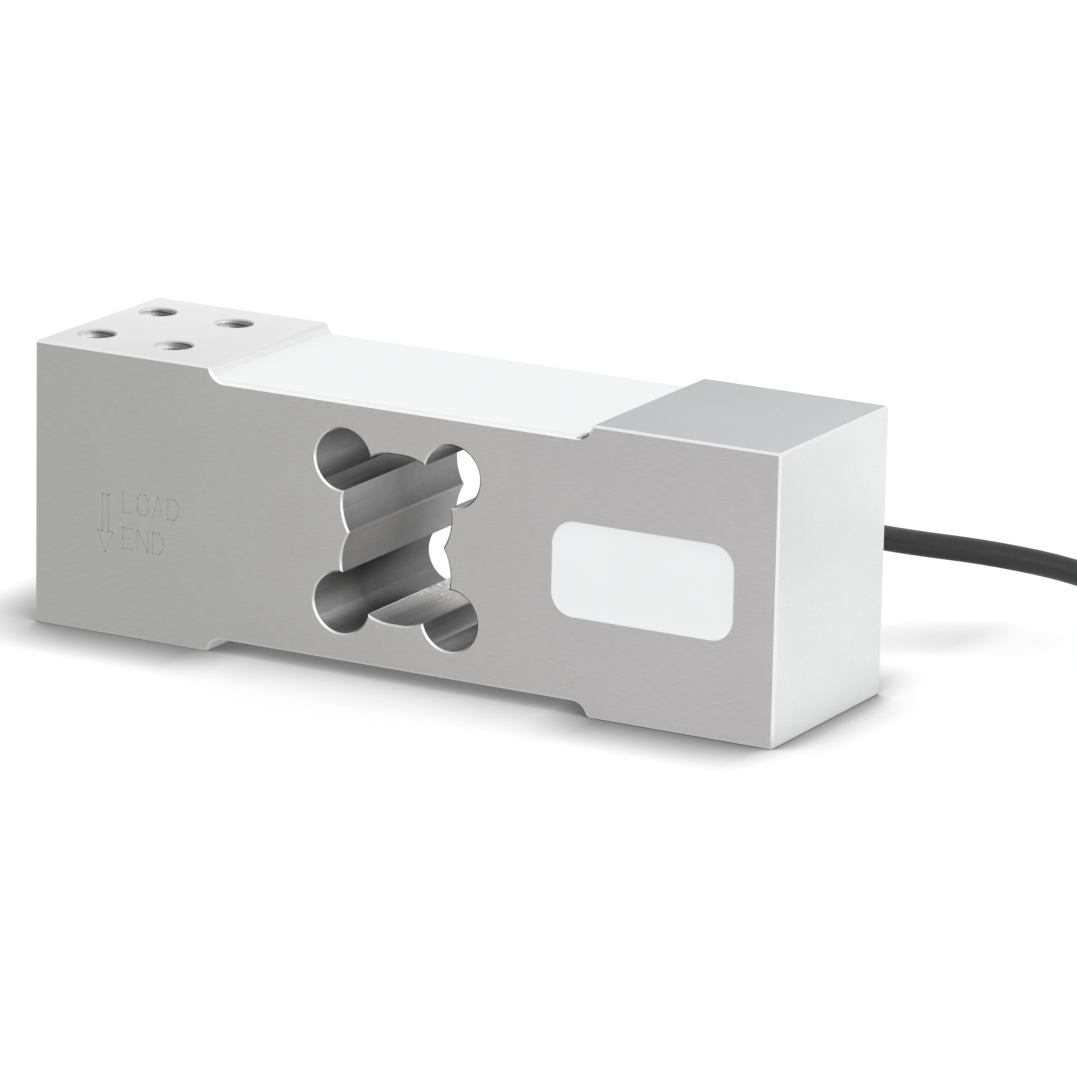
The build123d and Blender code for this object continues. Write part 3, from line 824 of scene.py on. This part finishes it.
def thread_ridge(points, faces, place, downwards, begin):
    """Adds one helical ridge to the lists: from the countersink at place, cut back by its cone."""
    turns = (thread_end - thread_start) / thread_pitch
    steps = int(turns * thread_steps)
    base = len(points)
    for step in range(steps + 1):
        angle = math.radians(begin) + 2 * math.pi * step / thread_steps
        depth = thread_start + thread_pitch * step / thread_steps
        run_out = (steps - step) / (thread_steps / 3)
        crest = thread_root - (thread_root - thread_crest) * min(run_out, 1.0)
        crest = max(crest, min(thread_mouth - depth + thread_land, thread_root))
        top_foot = min(thread_foot, depth - thread_mouth + thread_root)
        profile = [(thread_root + thread_bite, -top_foot), (crest, -min(thread_land, top_foot)),
                   (crest, thread_land), (thread_root + thread_bite, thread_foot)]
        for radius, along in profile:
            level = depth + along
            turn = -angle if downwards else angle
            z = place.z - level if downwards else place.z + level
            points.append((place.x + radius * math.cos(turn), place.y + radius * math.sin(turn), z))
    corners = 4
    for step in range(steps):
        for corner in range(corners):
            first = base + step * corners + corner
            second = base + step * corners + (corner + 1) % corners
            faces.append((first, second, second + corners, first + corners))
    faces.append(tuple(base + corner for corner in range(corners)))
    faces.append(tuple(base + steps * corners + corner for corner in reversed(range(corners))))


def threads():
    """The ridges of both hole patterns, one piece for each."""
    for name, mount_name, downwards in (("load", "load_holes", True), ("base", "base_holes", False)):
        mount = next(m for m in frame["record"]["mounts"] if m["name"] == mount_name)
        centre = Vector(mount["pos_m"])
        points, faces = [], []
        sides = [(-0.5, -0.5), (-0.5, 0.5), (0.5, -0.5), (0.5, 0.5)]
        for (side_x, side_y), begin in zip(sides, thread_begin):
            shift_x = side_x * mount["dims"]["spacing_x_mm"] * MM
            shift_y = side_y * mount["dims"]["spacing_y_mm"] * MM
            thread_ridge(points, faces, centre + Vector((shift_x, shift_y, 0)), downwards, begin)
        piece = mesh_piece(f"thread_ridges_{name}", points, faces, "cut_thread")
        sharpen(piece, 40)


# Marking on the front face: an arrow for the load's direction and two plain words

letters = {
    "L": [[(0, 1), (0, 0), (1, 0)]],
    "O": [[(0.25, 0), (0.75, 0), (1, 0.2), (1, 0.8), (0.75, 1), (0.25, 1), (0, 0.8), (0, 0.2), (0.25, 0)]],
    "A": [[(0, 0), (0.5, 1), (1, 0)], [(0.2, 0.36), (0.8, 0.36)]],
    "D": [[(0, 0), (0, 1), (0.65, 1), (1, 0.75), (1, 0.25), (0.65, 0), (0, 0)]],
    "E": [[(1, 0), (0, 0), (0, 1), (1, 1)], [(0, 0.52), (0.8, 0.52)]],
    "N": [[(0, 0), (0, 1), (1, 0), (1, 1)]],
}


def stroke(points, faces, path, width):
    """Adds a thin ribbon along a path in X and Z, just proud of the front face."""
    for (x0, z0), (x1, z1) in zip(path, path[1:]):
        along = Vector((x1 - x0, z1 - z0)).normalized() * width / 2
        side = Vector((-along.y, along.x))
        base = len(points)
        corners = []
        for x, z, end in ((x0, z0, -1), (x1, z1, 1)):
            for offset in (-1, 1):
                corners.append((x + along.x * end + side.x * offset, z + along.y * end + side.y * offset))
        for y in (-half_width + mark_sink, -half_width - mark_rise):
            points += [(x, y, z) for x, z in corners]
        faces += [(base + a, base + b, base + c, base + d) for a, b, c, d in (
            (4, 6, 7, 5), (0, 1, 3, 2), (0, 4, 5, 1), (2, 3, 7, 6), (0, 2, 6, 4), (1, 5, 7, 3))]


def marking():
    points, faces = [], []
    outline = [(-0.75, 30.2), (0.75, 30.2), (0.75, 22.3), (1.8, 22.3), (0, 17.8), (-1.8, 22.3), (-0.75, 22.3),
               (-0.75, 30.2)]
    stroke(points, faces, [((arrow_x + x) * MM, z * MM) for x, z in outline], arrow_stroke)
    for word, base_z in mark_words:
        for index, letter in enumerate(word):
            left = mark_left + index * mark_pitch
            for path in letters[letter]:
                placed = [((left + x * mark_letter_width) * MM, (base_z + z * mark_letter_height) * MM)
                          for x, z in path]
                stroke(points, faces, placed, letter_stroke)
    piece = mesh_piece("load_marking", points, faces, "etched_mark", smooth=False)


# Tinned ends of the stripped cores

def core_tips():
    """A bare, tinned end on each stripped core, along its last straight run."""
    pieces = []
    for index, core in enumerate(("red", "black", "drain", "white", "green")):
        lie = coil_step_height + (drain_radius if core == "drain" else core_radius) + core_gap
        line = core_first_line + index * core_fan
        turned = last_turned() + core_turn_degrees
        before = coil_place(turned, line, lie)
        end = coil_place(last_turned() + core_end_degrees - index * core_shortening, line, lie)
        heading = (end - before).normalized()
        curve = bpy.data.curves.new(f"core_tip_{core}", "CURVE")
        curve.dimensions = "3D"
        curve.bevel_depth = tip_radius
        curve.bevel_resolution = 4
        curve.use_fill_caps = True
        spline = curve.splines.new("POLY")
        reaches = [(-0.5, 1.0), (tip_length - 0.15, 1.0), (tip_length, 0.55)]
        spline.points.add(len(reaches) - 1)
        sink = 0 if core == "drain" else core_radius - tip_radius
        for point, (reach, thickness) in zip(spline.points, reaches):
            place = end + heading * reach * MM - Vector((0, 0, sink))
            point.co = (*place, 1.0)
            point.radius = thickness
        piece = bpy.data.objects.new(f"core_tip_{core}", curve)
        bpy.context.scene.collection.objects.link(piece)
        dress(piece, "tinned")
        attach(piece, "root")
        pieces.append(piece)
    return pieces


def last_turned():
    return coil_moves()[1]


# Camera: worked out from the body's straight edges in the photograph

def camera():
    data = bpy.data.cameras.new("camera")
    data.sensor_width = 36.0
    data.lens = 239.96
    data.clip_start = 0.05
    data.clip_end = 30.0
    right = Vector((0.873737, 0.485994, 0.019822))
    up = Vector((-0.141849, 0.215616, 0.966120))
    back = right.cross(up)
    piece = bpy.data.objects.new("camera", data)
    turn = Matrix((right, up, back)).transposed().to_4x4()
    piece.matrix_world = Matrix.Translation((0.707114, -1.250683, 0.408523)) @ turn
    bpy.context.scene.collection.objects.link(piece)
    bpy.context.scene.camera = piece


def floor():
    """A white sheet that shows the part's soft shadow."""
    size = 6.0
    mesh = bpy.data.meshes.new("floor")
    corners = [(-size, -size, 0), (size, -size, 0), (size, size, 0), (-size, size, 0)]
    mesh.from_pydata(corners, [], [(0, 1, 2, 3)])
    piece = bpy.data.objects.new("floor", mesh)
    bpy.context.scene.collection.objects.link(piece)
    material = bpy.data.materials.new("floor_paper")
    material.use_nodes = True
    material.node_tree.nodes.clear()
    paper = Nodes(material.node_tree)
    x, y, _ = paper.split(paper.node("ShaderNodeTexCoord", {}).outputs["Object"])
    from_camera, glossy = paper.ray()
    seen = paper.larger(from_camera, glossy)

    # Brightness in reflections: a little darker before the front face, more so to the left
    across = paper.minus(x, paper.both(y, 0.55))
    reflected = paper.span(across, -90 * MM, 90 * MM, 0.49, 0.61)
    reflected = paper.blend(paper.span(x, 86 * MM, 98 * MM), reflected, 1.0)
    level = paper.blend(glossy, 1.0, reflected)
    level = paper.both(level, paper.blend(from_camera, 1.0, contact_shadow(paper, x)))
    tone = paper.both(paper.span(seen, 0.0, 1.0, 0.85, 0.30), level)
    diffuse = paper.node("ShaderNodeBsdfDiffuse", {})
    paper.tree.links.new(tone, diffuse.inputs["Color"])
    glow = paper.both(paper.both(seen, floor_glow), level)
    emission = paper.node("ShaderNodeEmission", {"Color": (1, 1, 1, 1), "Strength": glow})
    both = paper.node("ShaderNodeAddShader", {0: diffuse.outputs[0], 1: emission.outputs[0]})
    output = paper.node("ShaderNodeOutputMaterial", {})
    paper.tree.links.new(both.outputs[0], output.inputs["Surface"])
    mesh.materials.append(material)


def contact_shadow(paper, x):
    """Soft shade round the part: wide at its ends, lighter under the recess, short at the right."""
    near = paper.node("ShaderNodeAmbientOcclusion", {"Distance": shade_reach}, samples=16).outputs["AO"]
    wide_left = paper.span(paper.math("POWER", near, 3.0), 0.0, 1.0, 0.15, 1.0)
    wide_right = paper.span(paper.math("POWER", near, 1.9), 0.08, 1.0, 0.03, 1.0)
    wide = paper.blend(paper.span(x, -10 * MM, 40 * MM), wide_left, wide_right)
    raised = paper.span(paper.math("POWER", near, 0.9), 0.0, 1.0, 0.20, 0.98)
    short = paper.plus(paper.span(near, 0.50, 0.72, 0.40, 0.90), paper.span(near, 0.72, 1.0, 0.0, 0.10))
    under_recess = paper.span(paper.size(x), 36 * MM, 48 * MM, 1.0, 0.0)
    beyond_end = paper.span(x, 84 * MM, 92 * MM)
    below_cable = paper.both(paper.span(x, 97 * MM, 105 * MM), paper.span(x, 124 * MM, 136 * MM, 1.0, 0.0))
    shade = paper.blend(beyond_end, paper.blend(under_recess, wide, raised), short)
    return paper.blend(below_cable, shade, 1.0)


def world():
    """A soft white room, a little darker towards the front left in reflections."""
    made = bpy.data.worlds.new("studio")
    bpy.context.scene.world = made
    made.use_nodes = True
    made.node_tree.nodes.clear()
    room = Nodes(made.node_tree)
    x, y, z = room.split(room.node("ShaderNodeTexCoord", {}).outputs["Generated"])
    sideways = room.plus(room.plus(room.both(x, 0.7), room.both(y, 0.6)), room.both(z, 0.5))
    reflected = room.span(sideways, -0.62, -0.08, 0.47, 1.0)
    from_camera, glossy = room.ray()
    strength = room.plus(room_level, room.both(from_camera, 1 - room_level))
    strength = room.plus(strength, room.both(glossy, room.minus(reflected, room_level)))
    background = room.node("ShaderNodeBackground", {"Color": (1, 1, 1, 1), "Strength": strength})
    output = room.node("ShaderNodeOutputWorld", {})
    room.tree.links.new(background.outputs[0], output.inputs["Surface"])


def lamp(name, place, target, size, power):
    """A square area lamp at a place, aimed at a target."""
    data = bpy.data.lights.new(name, "AREA")
    data.shape = "SQUARE"
    data.size = size
    data.energy = power
    piece = bpy.data.objects.new(name, data)
    aim = (Vector(target) - Vector(place)).to_track_quat("-Z", "Y")
    piece.matrix_world = Matrix.Translation(place) @ aim.to_matrix().to_4x4()
    bpy.context.scene.collection.objects.link(piece)
    return piece


dress_nodes()
gauge_cover("top_silicone", "top_gauge_cover", True, cover_half_width)
gauge_cover("bottom_silicone", "bottom_gauge_cover", False, lower_cover_half_width)
pocket_fill()
threads()
marking()
cable()
camera()
floor()
world()
lamp("front_softbox", (0.5, -1.6, 0.9), (0, 0, 0.03), 1.0, 3.0)
bpy.context.scene.view_settings.view_transform = "Standard"
